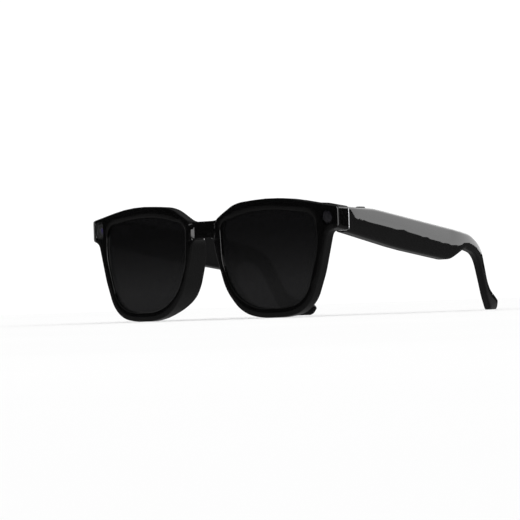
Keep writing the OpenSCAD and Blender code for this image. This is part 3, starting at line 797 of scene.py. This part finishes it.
def build_temple(side, name, body):
    """A temple housing that runs on into its hooked tip."""
    shape = plate([temple_outline()], TEMPLE_T, EDGE_ROUND, 4)
    step = 1.5
    sliced(shape, 0, np.arange(0.5, TEMPLE_LEN, step))
    sliced(shape, 1, np.arange(1.0, 47, step / 1.5))
    ends = bmesh.ops.bisect_plane(shape, geom=shape.verts[:] + shape.edges[:] + shape.faces[:], dist=1e-4,
                                  plane_co=(0, 0, 0), plane_no=(1, 0, 0), clear_inner=True)
    rim = [e for e in ends["geom_cut"] if isinstance(e, bmesh.types.BMEdge)]
    bmesh.ops.contextual_create(shape, geom=rim)
    bent(shape, shape_temple)
    temple = to_object(shape, f"{name}_body", side)
    carved(temple, housing_cutters(side), side)
    return piece_of(temple, body, "temple_plastic", [name], crease=40)


def build_seam_ring(side, name):
    """Bright bead that fills the seam between an end piece and its temple."""
    (x0, _, z0), (_, _, z1) = drawn_box("seam_ring_left")
    radius = (SEAM_Y - END_DEPTH) / 2 + BEAD_SWELL
    path = rectangle(x0 + radius, HALF_W - radius - 0.01, z0 + radius, z1 - radius, BEAD_CORNER)
    shape = bmesh.new()
    rings = []
    count = len(path)
    for k, point in enumerate(path):
        along = (path[(k + 1) % count] - path[k - 1]).normalized()
        out = Vector((along.y, -along.x))
        rings.append([shape.verts.new((point.x + out.x * radius * math.cos(a),
                                       END_DEPTH + radius - BEAD_SWELL + radius * math.sin(a),
                                       point.y + out.y * radius * math.cos(a)))
                      for a in np.linspace(0, math.tau, BEAD_SIDES, endpoint=False)])
    for one, two in zip(rings, rings[1:] + rings[:1]):
        skin(shape, one, two)
    return piece_of(to_object(shape, f"{name}_bead", side), "front", "seam_metal", [name])


# Camera pieces ------------------------------------------------------------------------------------
# Width and height of the window's rounded edge
WINDOW_EDGE = 0.75
WINDOW_FALL = 0.5
SQUARE_W = POCKET_W - 0.3
COVER_H = POCKET_H - 0.3


def depth_of(node):
    """How far a camera piece's front and back lie behind the face, along the camera axis."""
    out = Vector((0, -math.cos(CAMERA_TILT), -math.sin(CAMERA_TILT)))
    side = 1 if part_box(node)[0].x > 0 else -1
    origin = Vector((side * CAMERA_X * MM, BRIDGE_Y + CAMERA_Y * MM, CAMERA_Z * MM))
    depths = [-(vert.co - origin).dot(out) / MM for vert in frame["nodes"][node].data.vertices]
    return min(depths), max(depths)


def on_camera(shape, node, name, body, slot, replaced=True, finish=None):
    """Places a piece made about the camera axis on the side where its node is."""
    side = 1 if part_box(node)[0].x > 0 else -1
    shape.transform(camera_axes())
    made = to_object(shape, name, side)
    return piece_of(made, body, slot, [node] if replaced else (), finish)


def circle(radius):
    """Circle about the origin."""
    steps = 64
    return [Vector((radius * math.cos(math.tau * k / steps), radius * math.sin(math.tau * k / steps)))
            for k in range(steps)]


def seated_plate(node, outlines, bevel):
    """Plate with rounded edges between a node's two depths; inner outlines are openings."""
    front, back = depth_of(node)
    shape = plate(outlines, back - front, bevel)
    shape.transform(Matrix.Translation((0, 0, -(front + back) / 2)))
    return shape


def soft_ring(node, outer, inner, bevel):
    """Ring with rounded edges between a node's two depths."""
    front, back = depth_of(node)
    return lathe([(inner, -front - bevel), (inner, -back + bevel), (inner + bevel, -back),
                  (outer - bevel, -back), (outer, -back + bevel), (outer, -front - bevel),
                  (outer - bevel, -front), (inner + bevel, -front)])


def barrel(node, radius):
    """Stepped lens barrel, open at the front."""
    front, back = depth_of(node)
    return lathe([(0, -back), (radius - 0.15, -back), (radius, -back + 0.15), (radius, -front - 0.35),
                  (radius - 0.12, -front - 0.3), (radius - 0.12, -front - 0.1), (radius - 0.25, -front),
                  (radius * 0.74, -front), (radius * 0.72, -front - 0.18), (radius * 0.66, -front - 0.2),
                  (radius * 0.62, -front - 0.45), (0, -front - 0.5)])


def dome(node, radius, sink, rise):
    """Domed glass element that stands in a barrel."""
    front = depth_of(node)[0] + sink
    back = -front - rise - 0.12
    arc = [(radius * math.sin(a), -front - rise + rise * math.cos(a))
           for a in np.linspace(math.pi / 2, 0, 9)]
    return lathe([(0, back), (radius, back)] + arc[:-1] + [(0, arc[-1][1])])


def half_width(node):
    """Half of a node's width."""
    low, high = drawn_box(node)
    return (high[0] - low[0]) / 2


def stepped_disc(node):
    """Disc with a narrower front half."""
    front, back = depth_of(node)
    wide = half_width(node)
    step = wide * 0.76
    middle = (front + back) / 2
    return lathe([(0, -back), (wide - 0.1, -back), (wide, -back + 0.1), (wide, -middle - 0.08),
                  (wide - 0.08, -middle), (step, -middle), (step, -front - 0.1), (step - 0.1, -front),
                  (0, -front)])


def build_cameras():
    """The two cameras: the left one behind a round window, the right one a stack behind a clear cover."""
    front, back = depth_of("left_camera_window")
    rim = [(WINDOW_R - WINDOW_EDGE * (1 - math.cos(a)), -front - WINDOW_FALL * (1 - math.sin(a)))
           for a in np.linspace(0, math.pi / 2, 7)]
    window = lathe([(0, -back), (WINDOW_R, -back)] + rim
                   + [(WINDOW_R * 0.5, -front + 0.06), (0, -front + 0.08)])
    on_camera(window, "left_camera_window", "left_window_glass", "front", "camera_glass")
    for node, body, label in (("left_camera_barrel", "front", "left"),
                              ("camera_lens_barrel", "camera_lens_barrel", "right")):
        radius = half_width(node)
        on_camera(barrel(node, radius), node, f"{label}_barrel_turned", body, "barrel_coating")
        on_camera(dome(node, radius * 0.64, 0.12, 0.28), node, f"{label}_lens_element", body,
                  "camera_glass", False, VIOLET)
    pill = centred(SQUARE_W, COVER_H, POCKET_R)
    holder = [centred(SQUARE_W, SQUARE_W, 0.7), circle(2.05)]
    gasket = [centred(SQUARE_W, SQUARE_W, 0.8), centred(3.9, 3.9, 0.6)]
    loose = (
        ("outer_cover", "moulded", seated_plate("camera_outer_cover", [pill], 0.22), "clear_cover"),
        ("inner_cover", "moulded", stepped_disc("camera_inner_cover"), "clear_cover"),
        ("aperture_ring", "turned", soft_ring("camera_aperture_ring", 1.3, 0.7, 0.08), "clear_cover"),
        ("retaining_ring", "turned", soft_ring("camera_retaining_ring", 2.0, 1.5, 0.09), "clear_cover"),
        ("holder", "moulded", seated_plate("camera_holder", holder, 0.3), "holder_plastic"),
        ("gasket", "moulded", seated_plate("camera_gasket", gasket, 0.15), "gasket"),
    )
    for label, make, shape, slot in loose:
        on_camera(shape, f"camera_{label}", f"{label}_{make}", f"camera_{label}", slot)


# Controls -----------------------------------------------------------------------------------------
SWITCH_SLOPE = 0.157
RIB_HALF_W = 0.16
RIB_STEP = 0.9


def build_button():
    """Capture button: an oval cap with a rounded edge."""
    (x0, y0, _), (x1, y1, top) = drawn_box("capture_button")
    radius = (x1 - x0 - 2 * CAP_LIP) * 0.45
    cap = plate([rectangle(x0 + CAP_LIP, x1 - CAP_LIP, y0 + CAP_LIP, y1 - CAP_LIP, radius)], CAP_T, 0.5, 4)
    cap.transform(Matrix.Translation((0, 0, top - CAP_T / 2)))
    return piece_of(to_object(cap, "button_cap"), "capture_button", "temple_plastic", ["capture_button"])


def build_switch():
    """Power switch: a slider with three grip ribs."""
    _, along, height = sum(drawn_box("power_switch")) / 2
    face = float(temple_outer(along - SEAM_Y)) - TEMPLE_T
    shape = plate([centred(4, 2, 0.5)], 1.3, 0.15, 2)
    for place in (-RIB_STEP, 0, RIB_STEP):
        rib = plate([rectangle(place - RIB_HALF_W, place + RIB_HALF_W, -0.7, 0.7, 0.14)], 0.4, 0.1, 2)
        rib.transform(Matrix.Translation((0, 0, 0.6)))
        joined = bpy.data.meshes.new("rib")
        rib.to_mesh(joined)
        rib.free()
        shape.from_mesh(joined)
        bpy.data.meshes.remove(joined)
    # drawn flat, then stood up against the inner face and turned with the temple
    stood = Matrix(((0, 0, -1, 0), (1, 0, 0, 0), (0, 1, 0, 0), (0, 0, 0, 1)))
    shape.transform(Matrix.Translation((face + CUT_GAP, along, height))
                    @ Matrix.Rotation(math.atan(TEMPLE_SLOPE), 4, "Z")
                    @ Matrix.Rotation(-math.atan(SWITCH_SLOPE), 4, "X") @ stood)
    return piece_of(to_object(shape, "switch_slider"), "power_switch", "lid_plastic", ["power_switch"])


# Surroundings -------------------------------------------------------------------------------------
def build_floor():
    """Plain pale floor."""
    shape = bmesh.new()
    bmesh.ops.create_grid(shape, x_segments=2, y_segments=2, size=20)
    mesh = bpy.data.meshes.new("floor")
    shape.to_mesh(mesh)
    shape.free()
    floor = bpy.data.objects.new("floor", mesh)
    scene.collection.objects.link(floor)
    finish = grained("floor_paint", (0.93, 0.93, 0.93), 0.75, grain=40, depth=0.00005, varied=0.01)
    finish.node_tree.nodes["Principled BSDF"].inputs["Specular IOR Level"].default_value = 0.0
    mesh.materials.append(finish)
    floor.visible_glossy = False


def softbox(name, azimuths, elevations, radiance):
    """Upright studio light seen only in reflections, between two azimuths from +X and two elevations."""
    distance, glasses_height = 2.0, 0.03
    middle = math.radians(sum(azimuths) / 2)
    low, high = (distance * math.tan(math.radians(e)) for e in elevations)
    data = bpy.data.lights.new(name, "AREA")
    data.shape = "RECTANGLE"
    data.size = 2 * distance * math.tan(math.radians(azimuths[1] - azimuths[0]) / 2)
    data.size_y = high - low
    data.energy = radiance * math.pi * data.size * data.size_y
    lamp = bpy.data.objects.new(name, data)
    scene.collection.objects.link(lamp)
    out = Vector((math.cos(middle), math.sin(middle), 0))
    lamp.location = out * distance + Vector((0, 0, glasses_height + (low + high) / 2))
    lamp.rotation_euler = (-out).to_track_quat("-Z", "Z").to_euler()
    lamp.visible_diffuse = False


def build_world():
    """White surroundings whose mirror image in glossy surfaces is a dim studio."""
    world = bpy.data.worlds.new("studio")
    scene.world = world
    world.use_nodes = True
    tree = world.node_tree
    tree.nodes.clear()
    white = tree.nodes.new("ShaderNodeBackground")
    white.inputs["Color"].default_value = (1, 1, 1, 1)
    white.inputs["Strength"].default_value = 1.06
    dim = tree.nodes.new("ShaderNodeBackground")
    place = tree.nodes.new("ShaderNodeTexCoord")
    split = tree.nodes.new("ShaderNodeSeparateXYZ")
    tree.links.new(place.outputs["Generated"], split.inputs["Vector"])
    height = tree.nodes.new("ShaderNodeMapRange")
    height.inputs["From Min"].default_value = -1
    tree.links.new(split.outputs["Z"], height.inputs["Value"])
    ramp = tree.nodes.new("ShaderNodeValToRGB")
    stops = ramp.color_ramp.elements
    stops[0].position, stops[0].color = 0, (0.18, 0.18, 0.18, 1)
    stops[1].position, stops[1].color = 1, (0.25, 0.25, 0.25, 1)
    for sine, grey in ((-0.3, 0.16), (-0.04, 0.13), (0.0, 0.09), (0.02, 0.015), (0.4, 0.04)):
        stops.new((sine + 1) / 2).color = (grey, grey, grey, 1)
    tree.links.new(height.outputs["Result"], ramp.inputs["Fac"])
    tree.links.new(ramp.outputs["Color"], dim.inputs["Color"])
    path = tree.nodes.new("ShaderNodeLightPath")
    mix = tree.nodes.new("ShaderNodeMixShader")
    out = tree.nodes.new("ShaderNodeOutputWorld")
    mirrored_once = tree.nodes.new("ShaderNodeMath")
    mirrored_once.operation = "GREATER_THAN"
    mirrored_once.inputs[1].default_value = 0.5
    tree.links.new(path.outputs["Glossy Depth"], mirrored_once.inputs[0])
    tree.links.new(mirrored_once.outputs["Value"], mix.inputs["Fac"])
    tree.links.new(white.outputs["Background"], mix.inputs[1])
    tree.links.new(dim.outputs["Background"], mix.inputs[2])
    tree.links.new(mix.outputs["Shader"], out.inputs["Surface"])


def build_lights():
    """Softboxes behind and beside the left temple, in front of it, and on the right."""
    softbox("temple_light", (48.2, 118), (1.6, 38), 2.7)
    softbox("shoulder_light", (15, 48), (6, 38), 2.7)
    softbox("edge_light", (-50, -12), (-4, 30), 3.6)
    softbox("back_light", (150, 210), (4, 34), 0.5)


build_front()
build_lens(1, "lens_left")
build_lens(-1, "lens_right")
for side, name in ((1, "left"), (-1, "right")):
    build_temple(side, f"temple_shell_{name}", f"temple_{name}")
    build_seam_ring(side, f"seam_ring_{name}")
build_cameras()
build_button()
build_switch()

# The model's own nodes take the material of their slot
for part in frame["record"]["subparts"]:
    surface = frame["nodes"][part["node"]].data.materials
    surface.clear()
    surface.append(FINISH[part["material_slot"]])

build_floor()
build_world()
build_lights()
scene.view_settings.view_transform = "Standard"
